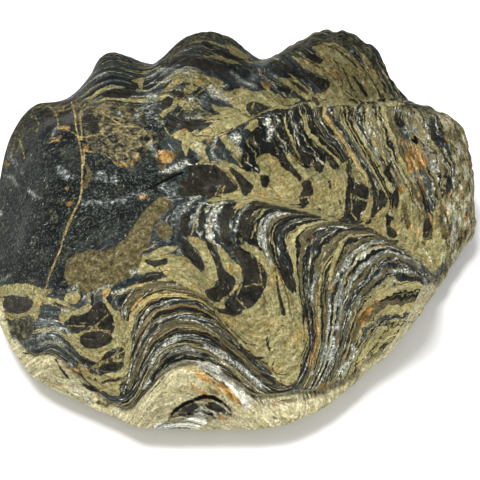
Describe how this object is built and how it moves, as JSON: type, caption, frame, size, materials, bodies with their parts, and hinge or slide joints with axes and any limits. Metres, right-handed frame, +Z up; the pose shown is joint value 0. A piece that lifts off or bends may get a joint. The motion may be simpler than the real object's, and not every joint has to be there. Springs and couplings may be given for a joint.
{
  "type": "fossil oyster shell",
  "caption": "Polished fossil oyster shell: a low stone with folds that radiate from a smooth hump to a zigzag margin, lying on its flat worn underside.",
  "frame": {"origin": "on the table, at the middle of the shell's outline", "axes": "+X from the smooth hump towards the large folds, along the shell's length; +Y to the back margin; +Z up from the flat underside"},
  "size_m": [0.1185, 0.1051, 0.0399],
  "materials": {
    "shell_stone": "polished by hand, satin"
  },
  "bodies": {
    "root": {"oyster_shell": "shell_stone"}
  },
  "joints": []
}
